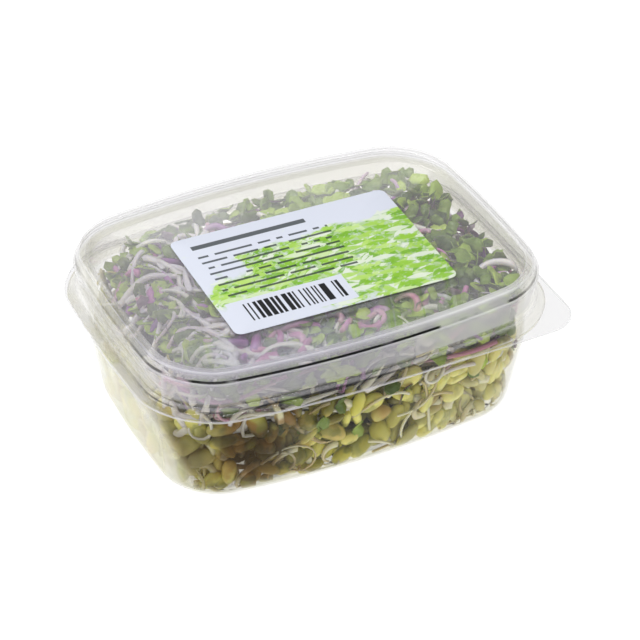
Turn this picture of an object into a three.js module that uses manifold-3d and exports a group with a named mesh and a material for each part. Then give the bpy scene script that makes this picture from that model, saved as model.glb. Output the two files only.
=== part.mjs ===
// Mung bean and radish sprout mix, packed in a clear tub with a press-on lid and a paper label.
// Millimetres, +Z up. The origin is the middle of the underside of the base. +X runs along the long
// side, and the lid's pull tab is at the corner (+X, -Y).
import * as THREE from "three";
import { mergeVertices } from "three/addons/utils/BufferGeometryUtils.js";
import Module from "manifold-3d";

// Driving dimensions.
const SHEET = 0.5; // formed plastic of the tub and the lid
const GAP = 0.35; // clearance between neighbouring pieces
const BEND = 0.5; // chamfer where a sheet turns a corner
const PANEL_TOP = 45.3; // upper face of the lid's recessed panel
const BEAD_RISE = 3.7; // top of the lid's bead above the panel
const BEAD_WIDTH = 2.8;
const SHOULDER_TOP = 44; // ledge outside the bead
const RIM_TOP = 43.15; // folded rim of the tub, under the lid's shoulder
const LID_FLANGE_TOP = 36.4;
const FLANGE_WIDTH = 4.15; // lid's flange, measured from the outer edge of the bead
const BAND_FOOT = 24; // the tub's wall is upright above this height and tapers below it
const BASE_FILLET = 5.2;

// Outlines seen from above: half length, half width, corner radius, and how far the middles of the
// short and the long sides bow out. RIM is the outer edge of the lid's bead. BASE is the tub's wall
// carried down to the floor. TAB is the flange's edge in the corner that holds the pull tab.
const RIM = { a: 57, b: 39.2, r: 15.5, bowX: 1.9, bowY: 5.5 };
const BASE = { a: 52.3, b: 33.5, r: 13.8, bowX: 1.8, bowY: 4.4 };
const TAB = { a: 62.6, b: 47.6, r: 9.1, bowX: 0.45, bowY: 1.25 };
const MOUTH_INSET = 1.9; // outside of the tub's upright wall, inside RIM

// Paper label on the panel.
const LABEL = { length: 67.3, width: 48.9, radius: 2.2, thickness: 0.2, x: 2.5, y: 0.8, turn: -1.1 };

// The mix, from the floor up: height of each layer's foot and top. Beans, tails, stems and leaves are a
// little larger than life, and fewer.
const BEAN_LAYER = { foot: 0.95, top: 25.6 };
const WHITE_LAYER = { foot: 26, top: 34.6 };
const PINK_LAYER = { foot: 35, top: 39.4 };
const LEAF_LAYER = { foot: 39.8, top: 44.4 };
const BEAN = { length: 11.5, width: 6.6, depth: 5.6 };
const BEAN_ROWS = [5.4, 11, 16.8, 22.4];
const BEANS_PER_ROW = 21;
const FLOOR_BEAN_PITCH = { x: 20, y: 14 };
const TAIL = { count: 12, radius: 1.1 };
const WHITE_STEM = { count: 21, radius: 1.1 };
const PINK_STEM = { count: 14, radius: 1 };
const LEAF = { length: 12, width: 13, thickness: 0.7, sunk: 0.2, columns: 9, lines: 6 };

// Steps round a quarter of an outline: half a short side, the corner, half a long side.
const SHORT_STEPS = 2;
const CORNER_STEPS = 5;
const LONG_STEPS = 3;
const FILLET_STEPS = 3;

const wasm = await Module();
wasm.setup();

// Repeatable random numbers from 0 to 1.
let seed = 20251;
function random() {
  seed = (seed + 0x6d2b79f5) | 0;
  let t = Math.imul(seed ^ (seed >>> 15), 1 | seed);
  t = (t + Math.imul(t ^ (t >>> 7), 61 | t)) ^ t;
  return ((t ^ (t >>> 14)) >>> 0) / 4294967296;
}

const between = (low, high) => low + (high - low) * random();

const grown = (shape, by) => ({ ...shape, a: shape.a + by, b: shape.b + by, r: shape.r + by });

const MOUTH = grown(RIM, -MOUTH_INSET);

// Outside of the tub's wall at a height: upright like the mouth down to BAND_FOOT, then in to BASE.
function wallAt(z) {
  const t = THREE.MathUtils.clamp(z / BAND_FOOT, 0, 1);
  const shape = {};
  for (const key in BASE) shape[key] = THREE.MathUtils.lerp(BASE[key], MOUTH[key], t);
  return shape;
}

// A quarter of an outline, from the X axis to the Y axis: a rounded rectangle whose sides bow out.
function quarter({ a, b, r, bowX, bowY }) {
  const points = [];
  for (let i = 0; i < SHORT_STEPS; i++) points.push([a, ((b - r) * i) / SHORT_STEPS]);
  for (let i = 0; i <= CORNER_STEPS; i++) {
    const angle = ((i / CORNER_STEPS) * Math.PI) / 2;
    points.push([a - r + r * Math.cos(angle), b - r + r * Math.sin(angle)]);
  }
  for (let i = 1; i <= LONG_STEPS; i++) points.push([(a - r) * (1 - i / LONG_STEPS), b]);
  return points.map(([x, y]) => [
    x + bowX * (x / a) * (1 - (y / b) ** 2),
    y + bowY * (y / b) * (1 - (x / a) ** 2),
  ]);
}

// A whole outline at height z, anticlockwise. The quarter (+X, -Y) may have a shape of its own.
function ring(shape, z, tabShape = shape) {
  const points = [];
  for (const [signX, signY] of [[1, 1], [-1, 1], [-1, -1], [1, -1]]) {
    const own = quarter(signX > 0 && signY < 0 ? tabShape : shape);
    if (signX !== signY) own.reverse();
    for (const [x, y] of own.slice(0, -1)) points.push([signX * x, signY * y, z]);
  }
  return points;
}

// A closed skin over rings that run from the middle of the upper face out and back to the middle of
// the lower face.
function loft(rings) {
  const count = rings[0].length;
  const last = rings.length - 1;
  const end = 1 + rings.length * count;
  const position = [0, 0, rings[0][0][2], ...rings.flat(2), 0, 0, rings[last][0][2]];
  const index = [];
  for (let i = 0; i < count; i++) {
    const next = (i + 1) % count;
    index.push(0, 1 + i, 1 + next);
    for (let k = 0; k < last; k++) {
      const inner = 1 + k * count;
      const outer = inner + count;
      index.push(inner + i, outer + i, outer + next, inner + i, outer + next, inner + next);
    }
    index.push(end, end - count + next, end - count + i);
  }
  const geometry = new THREE.BufferGeometry();
  geometry.setAttribute("position", new THREE.Float32BufferAttribute(position, 3));
  geometry.setIndex(index);
  return geometry;
}

// Rings round the tub's base edge, with the sheet's inner or outer face at depth from the outside.
function filletRings(depth) {
  const radius = BASE_FILLET - depth;
  const rings = [];
  for (let i = 0; i <= FILLET_STEPS; i++) {
    const angle = ((1 - i / FILLET_STEPS) * Math.PI) / 2;
    const z = BASE_FILLET - radius * Math.sin(angle);
    rings.push(ring(grown(wallAt(z), radius * Math.cos(angle) - BASE_FILLET), z));
  }
  return rings;
}

// Tub: one sheet, from the floor up the wall, over the folded rim and out to the flange.
function tubGeometry() {
  const flangeTop = LID_FLANGE_TOP - SHEET - GAP;
  const flangeEdge = grown(RIM, FLANGE_WIDTH - 0.75);
  const legFoot = grown(RIM, -0.6);
  const legTop = grown(RIM, 0.5);
  const underside = RIM_TOP - SHEET;
  return loft([
    ...filletRings(SHEET),
    ring(grown(wallAt(BAND_FOOT), -SHEET), BAND_FOOT),
    ring(grown(MOUTH, -SHEET), RIM_TOP - BEND),
    ring(grown(MOUTH, BEND - SHEET), RIM_TOP),
    ring(grown(legTop, -BEND), RIM_TOP),
    ring(legTop, RIM_TOP - BEND),
    ring(legFoot, flangeTop),
    ring(flangeEdge, flangeTop),
    ring(flangeEdge, flangeTop - SHEET),
    ring(grown(legFoot, -SHEET), flangeTop - SHEET),
    ring(grown(legTop, -SHEET), underside - BEND / 2),
    ring(grown(legTop, -SHEET - BEND / 2), underside),
    ring(grown(MOUTH, BEND / 2), underside),
    ring(MOUTH, underside - BEND / 2),
    ring(wallAt(BAND_FOOT), BAND_FOOT),
    ...filletRings(0).reverse(),
  ]);
}

// Lid: one sheet, from the recessed panel over the bead and the shoulder, down the skirt to the
// flange and its tab. The skirt leans in at its foot, where it grips under the tub's rim.
function lidGeometry() {
  const beadTop = PANEL_TOP + BEAD_RISE;
  const plug = -BEAD_WIDTH;
  const foot = LID_FLANGE_TOP;
  const flangeEdge = grown(RIM, FLANGE_WIDTH);
  // How far outside RIM each ring runs, and its height.
  const upper = [
    [plug - 0.6, PANEL_TOP],
    [plug - 0.3, PANEL_TOP + BEND],
    [plug, beadTop - BEND],
    [plug + 0.4, beadTop],
    [-0.4, beadTop],
    [0, beadTop - BEND],
    [0.3, SHOULDER_TOP + 0.6],
    [0.6, SHOULDER_TOP],
    [1.15, SHOULDER_TOP],
    [1.45, SHOULDER_TOP - BEND],
    [0.4, foot + 0.7],
    [0.7, foot],
  ];
  const lower = [
    [0.3, foot - SHEET],
    [-0.1, foot + BEND],
    [0.95, SHOULDER_TOP - 0.7],
    [0.85, SHOULDER_TOP - SHEET],
    [0.1, SHOULDER_TOP - SHEET],
    [-0.2, SHOULDER_TOP + BEND],
    [-SHEET, beadTop - SHEET - 0.2],
    [-SHEET - 0.2, beadTop - SHEET],
    [plug + SHEET + 0.1, beadTop - SHEET],
    [plug + SHEET, beadTop - SHEET - 0.2],
    [plug + 0.2, PANEL_TOP],
    [plug - 0.3, PANEL_TOP - SHEET],
  ];
  const rimRing = ([offset, z]) => ring(grown(RIM, offset), z);
  return loft([
    ...upper.map(rimRing),
    ring(flangeEdge, foot, TAB),
    ring(flangeEdge, foot - SHEET, TAB),
    ...lower.map(rimRing),
  ]);
}

// Label: a rounded rectangle of paper.
function labelGeometry() {
  const { length, width, radius, thickness } = LABEL;
  const x = length / 2 - radius;
  const y = width / 2 - radius;
  const outline = new THREE.Shape();
  outline.absarc(x, y, radius, 0, Math.PI / 2);
  outline.absarc(-x, y, radius, Math.PI / 2, Math.PI);
  outline.absarc(-x, -y, radius, Math.PI, 1.5 * Math.PI);
  outline.absarc(x, -y, radius, 1.5 * Math.PI, 2 * Math.PI);
  const settings = { depth: thickness, bevelEnabled: false, curveSegments: 3 };
  const geometry = new THREE.ExtrudeGeometry(outline, settings);
  geometry.rotateZ(THREE.MathUtils.degToRad(LABEL.turn));
  return geometry.translate(LABEL.x, LABEL.y, PANEL_TOP + 0.05);
}

// A closed three.js geometry as a solid that can be joined.
function solid(geometry) {
  const bare = new THREE.BufferGeometry();
  bare.setAttribute("position", geometry.getAttribute("position"));
  if (geometry.index) bare.setIndex(geometry.index);
  const merged = mergeVertices(bare, 1e-5);
  const triangles = [];
  const { array } = merged.index;
  for (let i = 0; i < array.length; i += 3) {
    const [p, q, r] = [array[i], array[i + 1], array[i + 2]];
    if (p !== q && q !== r && r !== p) triangles.push(p, q, r);
  }
  return new wasm.Manifold(new wasm.Mesh({
    numProp: 3,
    vertProperties: new Float32Array(merged.getAttribute("position").array),
    triVerts: new Uint32Array(triangles),
  }));
}

// Pieces grown together into one body, kept clear of the tub and the lid. Sealed hollows are filled
// and loose scraps are dropped, because only the largest skin stays.
function grownTogether(pieces, layer) {
  let body = pieces.reduce((sum, piece) => sum.add(piece));
  body = body.intersect(solid(roomGeometry(layer)));
  body = body.decompose().sort((p, q) => q.volume() - p.volume())[0];
  const mesh = body.getMesh();
  const geometry = new THREE.BufferGeometry();
  geometry.setAttribute("position", new THREE.BufferAttribute(mesh.vertProperties, 3));
  geometry.setIndex(new THREE.BufferAttribute(mesh.triVerts, 1));
  return geometry;
}

// The room that a layer of the mix has inside the tub.
function roomGeometry({ foot, top }) {
  const inset = -SHEET - GAP;
  const rings = [ring(grown(wallAt(top), inset), top)];
  if (top > BAND_FOOT && foot < BAND_FOOT) rings.push(ring(grown(wallAt(BAND_FOOT), inset), BAND_FOOT));
  if (foot > BASE_FILLET) return loft([...rings, ring(grown(wallAt(foot), inset), foot)]);
  return loft([...rings, ...filletRings(SHEET + GAP).reverse()]);
}

// The dense middle of a layer, which the sprouts stand out of.
function coreGeometry(foot, top, inset) {
  return loft([ring(grown(wallAt(top), -inset), top), ring(grown(wallAt(foot), -inset - 1), foot)]);
}

// A place beside the tub's wall: turn goes from 0 to 1 round the outline at an even pace, and inset is
// measured from the outside of the wall. Gives the point, the way out and the way along the wall.
function beside(turn, z, inset) {
  const outline = ring(grown(wallAt(z), -inset), z).map((p) => new THREE.Vector3(...p));
  const around = new THREE.CatmullRomCurve3(outline, true, "chordal");
  const place = THREE.MathUtils.euclideanModulo(turn, 1);
  const along = around.getTangentAt(place).setZ(0).normalize();
  return { point: around.getPointAt(place), out: new THREE.Vector3(along.y, -along.x, 0), along };
}

// A swollen bean: a five-sided capsule lying along the wall or the floor, turned by tilt in its plane.
function bean(point, along, out, tilt) {
  const { length, width, depth } = BEAN;
  const geometry = new THREE.CapsuleGeometry(0.5, length / width - 1, 1, 5);
  const side = out.clone().cross(along);
  const axis = along.clone().multiplyScalar(Math.cos(tilt)).addScaledVector(side, Math.sin(tilt));
  const across = out.clone().cross(axis);
  const scale = width * between(0.88, 1.08);
  const frame = new THREE.Matrix4().makeBasis(across.multiplyScalar(scale), axis.multiplyScalar(scale),
    out.clone().multiplyScalar((-scale * depth) / width));
  return solid(geometry.applyMatrix4(frame.setPosition(point)));
}

// A root tail or a stem: a four-sided rod along a smooth path.
function rod(points, radius, steps) {
  const section = new THREE.Shape();
  for (let i = 0; i < 4; i++) {
    const angle = (i / 4) * 2 * Math.PI;
    section[i ? "lineTo" : "moveTo"](radius * Math.cos(angle), radius * Math.sin(angle));
  }
  const path = new THREE.CatmullRomCurve3(points);
  return solid(new THREE.ExtrudeGeometry(section, { steps, bevelEnabled: false, extrudePath: path }));
}

// A rod that comes out of the core, lies along the wall and goes back in. span is its share of the
// way round the tub, rise is how far its far end lies above its near one, and bend lifts its middle.
function wallRod({ turn, z, span, rise, bend, radius, inset, depth, steps }) {
  const at = (t, from, lift) => beside(turn + span * t, z + rise * t + lift, from).point;
  const near = at(0.15, inset + 0.4, 0);
  const far = at(0.85, inset + 0.4, 0);
  return rod([at(0, depth, 0), near, at(0.5, inset, bend), far, at(1, depth, 0)], radius, steps);
}

// Mung sprouts: rows of beans round the walls and over the floor, with curved tails between them.
function mungSprouts() {
  const core = { foot: 4.6, top: BEAN_LAYER.top - 3, inset: 5.6 };
  const pieces = [solid(coreGeometry(core.foot, core.top, core.inset))];
  const half = SHEET + GAP + BEAN.depth / 2;
  BEAN_ROWS.forEach((row, r) => {
    for (let i = 0; i < BEANS_PER_ROW; i++) {
      const turn = (i + 0.5 * (r % 2) + between(-0.12, 0.12)) / BEANS_PER_ROW;
      const { point, out, along } = beside(turn, row + between(-0.3, 0.3), half + (r ? 0.3 : 1));
      pieces.push(bean(point, along, out, between(-0.5, 0.5)));
    }
  });
  for (let i = 0; i < TAIL.count; i++) {
    const rise = between(-7, 7);
    pieces.push(wallRod({
      turn: (i + between(-0.3, 0.3)) / TAIL.count,
      z: between(9, 19) - rise / 2,
      span: between(0.035, 0.06),
      rise,
      bend: between(-2, 2),
      radius: TAIL.radius,
      inset: SHEET + GAP + TAIL.radius + 0.15,
      depth: core.inset + 1,
      steps: 5,
    }));
  }
  const down = new THREE.Vector3(0, 0, -1);
  for (let column = -2; column <= 2; column++) {
    for (let line = -1.5; line <= 1.5; line++) {
      const x = column * FLOOR_BEAN_PITCH.x + between(-2, 2);
      const y = line * FLOOR_BEAN_PITCH.y + between(-1.5, 1.5);
      const angle = between(0, Math.PI);
      const along = new THREE.Vector3(Math.cos(angle), Math.sin(angle), 0);
      pieces.push(bean(new THREE.Vector3(x, y, half + 0.2), along, down, 0));
    }
  }
  return grownTogether(pieces, BEAN_LAYER);
}

// Radish stems: long rods winding round the walls in two depths, out of the middle of their layer.
function radishStems(layer, { count, radius }) {
  const core = { foot: layer.foot + 0.5, top: layer.top - 0.5, inset: 6.5 };
  const pieces = [solid(coreGeometry(core.foot, core.top, core.inset))];
  const low = layer.foot + radius;
  const high = layer.top - radius;
  for (let i = 0; i < count; i++) {
    const z = between(low, high);
    const behind = i % 3 === 2 ? 2 * radius : 0;
    pieces.push(wallRod({
      turn: (i + between(-0.3, 0.3)) / count,
      z,
      span: between(0.07, 0.11),
      rise: between(low, high) - z,
      bend: between(-0.3, 0.3) * (high - low),
      radius,
      inset: SHEET + GAP + radius + 0.15 + behind,
      depth: core.inset + 2,
      steps: 4,
    }));
  }
  return grownTogether(pieces, layer);
}

// A radish seed leaf: two round lobes with a notch between them, narrowing to the stalk at the origin.
function leafBlade(scale) {
  const { length, width, thickness } = LEAF;
  const stalk = 0.9;
  const outline = new THREE.Shape();
  const curve = (...shares) => {
    outline.bezierCurveTo(...shares.map((share, i) => share * (i % 2 ? length : width)));
  };
  outline.moveTo(-stalk, -1.5);
  outline.lineTo(stalk, -1.5);
  curve(0.35, 0.05, 0.62, 0.45, 0.45, 0.8);
  curve(0.35, 1.05, 0.12, 1.05, 0, 0.78);
  curve(-0.12, 1.05, -0.35, 1.05, -0.45, 0.8);
  curve(-0.62, 0.45, -0.35, 0.05, -stalk / width, -1.5 / length);
  const settings = { depth: thickness, bevelEnabled: false, curveSegments: 2 };
  const geometry = new THREE.ExtrudeGeometry(outline, settings);
  return geometry.translate(0, 0, -thickness / 2).scale(scale, scale, 1);
}

// Radish leaves: seed leaves over the top of the mix. Their stalks are sunk in a thin core, and most of
// the blades lean outwards, so that they lie over each other like tiles and reach the walls.
function radishLeaves() {
  const core = { foot: LEAF_LAYER.foot, top: LEAF_LAYER.foot + 0.9, inset: 9 };
  const pieces = [solid(coreGeometry(core.foot, core.top, core.inset))];
  const area = grown(MOUTH, -11);
  const { columns, lines } = LEAF;
  for (let i = 0; i < columns; i++) {
    for (let j = 0; j < lines; j++) {
      const x = ((i + 0.5 + between(-0.25, 0.25)) / columns - 0.5) * 2 * area.a;
      const reach = area.b + area.bowY * (1 - (x / area.a) ** 2);
      const y = ((j + 0.5 + between(-0.25, 0.25)) / lines - 0.5) * 2 * reach;
      const turn = Math.atan2(y, x) - Math.PI / 2 + between(-0.8, 0.8);
      const blade = leafBlade(between(0.85, 1.05));
      blade.rotateY(between(-0.15, 0.15)).rotateX(between(0.2, 0.32)).rotateZ(turn);
      pieces.push(solid(blade.translate(x, y, core.top - LEAF.sunk)));
    }
  }
  return grownTogether(pieces, LEAF_LAYER);
}

const group = new THREE.Group();

function add(name, geometry, settings) {
  const mesh = new THREE.Mesh(geometry, new THREE.MeshStandardMaterial(settings));
  mesh.name = name;
  group.add(mesh);
}

const clearPlastic = { color: 0xe9eae6, roughness: 0.1, transparent: true, opacity: 0.3 };
add("tub", tubGeometry(), clearPlastic);
add("lid", lidGeometry(), clearPlastic);
add("label", labelGeometry(), { color: 0xe2e6f2, roughness: 0.55 });
add("mung_sprouts", mungSprouts(), { color: 0xb9bb74, roughness: 0.4 });
add("radish_stems_white", radishStems(WHITE_LAYER, WHITE_STEM), { color: 0xdcd4bd, roughness: 0.4 });
add("radish_stems_pink", radishStems(PINK_LAYER, PINK_STEM), { color: 0xc08bb0, roughness: 0.4 });
add("radish_leaves", radishLeaves(), { color: 0x7fa044, roughness: 0.5 });

export default group;
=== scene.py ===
"""Looks of a clear tub of mung bean and radish sprouts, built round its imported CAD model.

Table, lights and camera are in metres. The pack's own sections are in millimetres, in the model's
frame, and draw() turns them to metres. Materials read places in metres, and the label's turns them
to millimetres.
"""

import math

import bpy
import numpy as np
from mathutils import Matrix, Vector


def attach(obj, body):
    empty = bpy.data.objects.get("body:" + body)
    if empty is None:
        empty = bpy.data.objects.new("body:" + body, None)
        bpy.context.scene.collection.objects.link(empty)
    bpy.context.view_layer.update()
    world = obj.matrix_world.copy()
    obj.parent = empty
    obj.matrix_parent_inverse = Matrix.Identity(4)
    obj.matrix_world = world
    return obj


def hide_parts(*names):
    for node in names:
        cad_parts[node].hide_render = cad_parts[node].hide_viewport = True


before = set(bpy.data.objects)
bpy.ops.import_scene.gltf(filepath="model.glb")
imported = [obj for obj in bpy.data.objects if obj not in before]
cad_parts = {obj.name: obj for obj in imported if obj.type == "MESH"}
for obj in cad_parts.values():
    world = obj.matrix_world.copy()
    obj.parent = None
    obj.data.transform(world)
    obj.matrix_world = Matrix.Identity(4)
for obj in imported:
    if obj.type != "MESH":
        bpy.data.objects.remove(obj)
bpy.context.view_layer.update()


# Table and light. The pack stands on a plain white table in a bright room, under one wide soft box
# and a narrow one beside it, with weaker ones in front of it and at its left.

FLOOR_HALF = 3.0
FLOOR_WHITE = (0.2, 0.2, 0.2, 1)
FLOOR_GLOW = 0.94
ROOM_WHITE = (0.97, 0.98, 1.0, 1)
ROOM_STRENGTH = 0.24
CLEAR_FACES_IN_LINE = 48
PACK_MIDDLE = (0, 0, 0.02)
# Each box's name, place, length and width, and power.
SOFT_BOXES = [
    ("overhead", (0.05, 0.12, 0.95), (0.9, 0.9), 6.2),
    ("strip", (-0.1, -0.1, 0.9), (0.9, 0.035), 1.7),
    ("front", (-0.5, -0.85, 0.5), (0.6, 0.6), 1.4),
    ("left", (-0.85, 0.15, 0.4), (0.6, 0.5), 3.4),
]

scene = bpy.context.scene
scene.view_settings.view_transform = "Standard"
scene.cycles.transparent_max_bounces = CLEAR_FACES_IN_LINE


class Value:
    """A socket of a finish. Arithmetic on it adds Math nodes and gives a new Value."""

    def __init__(self, finish, socket):
        self.finish, self.socket = finish, socket

    def math(self, operation, *others):
        """One Math node, for an operation on this value and others."""
        return self.finish.node("Math", dict(enumerate([self, *others])), operation=operation)

    def __add__(self, other):
        return self.math("ADD", other)

    def __mul__(self, other):
        return self.math("MULTIPLY", other)

    def __sub__(self, other):
        return self.math("SUBTRACT", other)

    def __rsub__(self, other):
        return self.finish.node("Math", {0: other, 1: self}, operation="SUBTRACT")

    def __truediv__(self, other):
        return self.math("DIVIDE", other)

    def __pow__(self, other):
        return self.math("POWER", other)

    def __gt__(self, other):
        return self.math("GREATER_THAN", other)

    def __abs__(self):
        return self.math("ABSOLUTE")

    def floor(self):
        return self.math("FLOOR")

    def fraction(self):
        return self.math("FRACT")

    __radd__, __rmul__ = __add__, __mul__


class Finish:
    """A material that is built one node at a time, ending in surface()."""

    def __init__(self, name):
        self.material = bpy.data.materials.new(name)
        self.material.use_nodes = True
        self.tree = self.material.node_tree
        self.tree.nodes.clear()

    def node(self, kind, inputs=(), output=0, stops=None, **settings):
        """Adds one node: its settings first, then what its sockets hold or are linked to. output None
        is for a node that gives nothing on."""
        made = self.tree.nodes.new("ShaderNode" + kind)
        for key, value in settings.items():
            setattr(made, key, value)
        if stops:
            ramp = made.color_ramp.elements
            while len(ramp) < len(stops):
                ramp.new(1)
            for element, (place, colour) in zip(ramp, stops):
                element.position = place
                element.color = (*colour, 1)
        for key, value in dict(inputs).items():
            if isinstance(value, Value):
                self.tree.links.new(value.socket, made.inputs[key])
            else:
                made.inputs[key].default_value = value
        return None if output is None else Value(self, made.outputs[output])

    def place(self):
        """Where a point is on the pack."""
        return self.node("TexCoord", output="Object")

    def axes(self, place):
        """A place's three coordinates: across, depth and height."""
        split = self.node("SeparateXYZ", {0: place}).socket.node
        return [Value(self, socket) for socket in split.outputs]

    def mark(self, name):
        """A number that draw() stored with each point of the mesh."""
        return self.node("Attribute", output="Fac", attribute_name=name)

    def noise(self, place, scale, detail, **inputs):
        """Smooth clouds from 0 to 1. scale is about how many there are to a metre."""
        return self.node("TexNoise", {"Vector": place, "Scale": scale, "Detail": detail, **inputs})

    def seeded(self, inputs, dimensions):
        """A number from 0 to 1 that is fixed for each value of its inputs."""
        return self.node("TexWhiteNoise", inputs, noise_dimensions=dimensions)

    def bump(self, height, strength, distance):
        """The normal of a surface that rises with height, by up to a distance in metres."""
        inputs = {"Height": height, "Strength": strength, "Distance": distance}
        return self.node("Bump", inputs, output="Normal")

    def mix(self, share, first, second):
        """A mix of two colours: share 0 gives the first and 1 the second."""
        inputs = {0: share, 6: first, 7: second}
        return self.node("Mix", inputs, output=2, data_type="RGBA", blend_type="MIX")

    def step(self, value, low, high):
        """0 below low, 1 above high, and smooth between them. It falls where low is the higher."""
        inputs = {"Value": value, "From Min": low, "From Max": high}
        return self.node("MapRange", inputs, interpolation_type="SMOOTHSTEP")

    def surface(self, shader):
        self.node("OutputMaterial", {"Surface": shader}, output=None)
        return self.material


world = bpy.data.worlds.new("room")
world.use_nodes = True
world.node_tree.nodes["Background"].inputs["Color"].default_value = ROOM_WHITE
world.node_tree.nodes["Background"].inputs["Strength"].default_value = ROOM_STRENGTH
scene.world = world

floor_mesh = bpy.data.meshes.new("table")
corners = [(FLOOR_HALF * x, FLOOR_HALF * y, 0) for x, y in ((-1, -1), (1, -1), (1, 1), (-1, 1))]
floor_mesh.from_pydata(corners, [], [(0, 1, 2, 3)])
floor = bpy.data.objects.new("table", floor_mesh)
scene.collection.objects.link(floor)
white_table = Finish("white_table")
floor_mesh.materials.append(white_table.surface(white_table.node("BsdfPrincipled", {
    "Base Color": FLOOR_WHITE,
    "Roughness": 0.6,
    "Specular IOR Level": 0.2,
    "Emission Color": (1, 1, 1, 1),
    "Emission Strength": FLOOR_GLOW,
})))

for name, place, size, power in SOFT_BOXES:
    lamp = bpy.data.lights.new(name, "AREA")
    lamp.shape, lamp.energy = "RECTANGLE", power
    lamp.size, lamp.size_y = size
    light = bpy.data.objects.new(name, lamp)
    light.location = place
    light.rotation_euler = (Vector(PACK_MIDDLE) - Vector(place)).to_track_quat("-Z", "Y").to_euler()
    scene.collection.objects.link(light)


# Camera. It stands in front of the pack and to its left, and looks down at it at about 36 degrees
# through a long lens.

CAMERA_PLACE = (-0.26449, -0.55275, 0.46788)
AZIMUTH, ELEVATION = math.radians(-25.95), math.radians(35.81)
LENS, SENSOR = 149.43, 36.0

back = Vector((
    math.sin(AZIMUTH) * math.cos(ELEVATION),
    -math.cos(AZIMUTH) * math.cos(ELEVATION),
    math.sin(ELEVATION),
))
camera = bpy.data.objects.new("camera", bpy.data.cameras.new("camera"))
camera.data.lens, camera.data.sensor_width = LENS, SENSOR
camera.location = CAMERA_PLACE
camera.rotation_euler = (-back).to_track_quat("-Z", "Y").to_euler()
scene.collection.objects.link(camera)
scene.camera = camera


# Tub. One sheet of clear plastic, formed over a block: a flat floor, a rounded base edge, tapered
# walls, an upright band, and a rim that folds over and runs out into a flat flange.

SHEET = 0.5
BEND = 0.5
CUT_EDGE = 0.4
BAND_FOOT = 24.0
BASE_FILLET = 5.2
RIM_TOP = 45.4
TUB_FLANGE_TOP = 35.55
MOUTH_INSET = 1.9
FLANGE_WIDTH = 3.4
BASE_STEPS = 9
TUB_TINT = (0.976, 0.974, 0.95)
TUB_GLOSS = 0.004
# Points round an outline, and how far from a bend its rounding starts.
AROUND = 320
ROUNDING = 0.3
# An outline's half length, half width, corner radius, and the bows of its short and long sides. RIM
# is the outer edge of the lid's bead, and BASE is the tub's wall carried down to the floor.
RIM = np.array([57, 39.2, 15.5, 1.9, 5.5])
BASE = np.array([52.3, 33.5, 13.8, 1.8, 4.4])
GROW = np.array([1, 1, 1, 0, 0])
# Shares of a quarter of the way round at which the short side ends and the long side starts.
CORNER_START, CORNER_END = 0.274, 0.521


def grown(shape, by):
    """An outline that is wider all round: half length, half width and corner radius each grow by the
    same amount, and the bows stay."""
    return shape + by * GROW


MOUTH = grown(RIM, -MOUTH_INSET)


def outline(shape, turn):
    """The point of a rounded rectangle with bowed sides at a turn from 0 to 1, anticlockwise.

    A quarter runs along half the short side, round the corner and along half the long side. The
    sides then bow out by 1 - t * t, t being how far the point is from the middle of its side. shape's
    last axis holds the five measures, and its other axes match turn's.
    """
    a, b, r, bow_x, bow_y = np.moveaxis(np.asarray(shape, float), -1, 0)
    quarter = np.floor(turn * 4) % 4
    part = turn * 4 % 1
    part = np.where(quarter % 2 == 0, part, 1 - part)
    angle = np.clip((part - CORNER_START) / (CORNER_END - CORNER_START), 0, 1) * math.pi / 2
    x = a - r + r * np.cos(angle) - (a - r) * np.clip((part - CORNER_END) / (1 - CORNER_END), 0, 1)
    y = (b - r) * np.clip(part / CORNER_START, 0, 1) + r * np.sin(angle)
    bowed_x = x + bow_x * (x / a) * (1 - (y / b) ** 2)
    bowed_y = y + bow_y * (y / b) * (1 - (x / a) ** 2)
    sign_x = np.where((quarter == 1) | (quarter == 2), -1, 1)
    sign_y = np.where(quarter >= 2, -1, 1)
    return np.stack([sign_x * bowed_x, sign_y * bowed_y], -1)


def wall(z):
    """Outside of the tub's wall at height z: upright above the band's foot, tapered below it, and
    drawn in along a quarter circle round the base edge."""
    z = np.asarray(z, float)[..., None]
    share = np.clip(z / BAND_FOOT, 0, 1)
    below = np.clip(BASE_FILLET - z, 0, BASE_FILLET)
    return grown(BASE + (MOUTH - BASE) * share, np.sqrt(BASE_FILLET**2 - below**2) - BASE_FILLET)


def row(shape, z, corner=None, cut=0.0, crease=0.0, panel=0.0):
    """A ring of a formed sheet: an outline, a height, the outline that rules the quarter (+X, -Y), and
    how far the place is a cut edge or carries a painted highlight line, carries a painted dark line
    of shade along a bend, or is a damp panel."""
    return [*shape, z, *(shape if corner is None else corner), cut, crease, panel]


def rounded(rows, radius):
    """Rounds the bends of a profile: each inner row gives way to a curve of five rows, from a radius
    before it to a radius after it, along a parabola that has the row itself as its control point."""
    rows = np.asarray(rows, float)
    here, before, after = rows[1:-1], rows[:-2] - rows[1:-1], rows[2:] - rows[1:-1]
    spans = (np.hypot(way[:, 0], way[:, 5]) for way in (before, after))
    reach_back, reach_on = (np.minimum(radius / (span + 1e-9), 0.45)[:, None] for span in spans)
    start, end = here + before * reach_back, here + after * reach_on
    t = np.linspace(0, 1, 5)[None, :, None]
    curve = (1 - t) ** 2 * start[:, None] + 2 * t * (1 - t) * here[:, None] + t**2 * end[:, None]
    return np.concatenate([rows[:1], curve.reshape(-1, rows.shape[1]), rows[-1:]])


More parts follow.
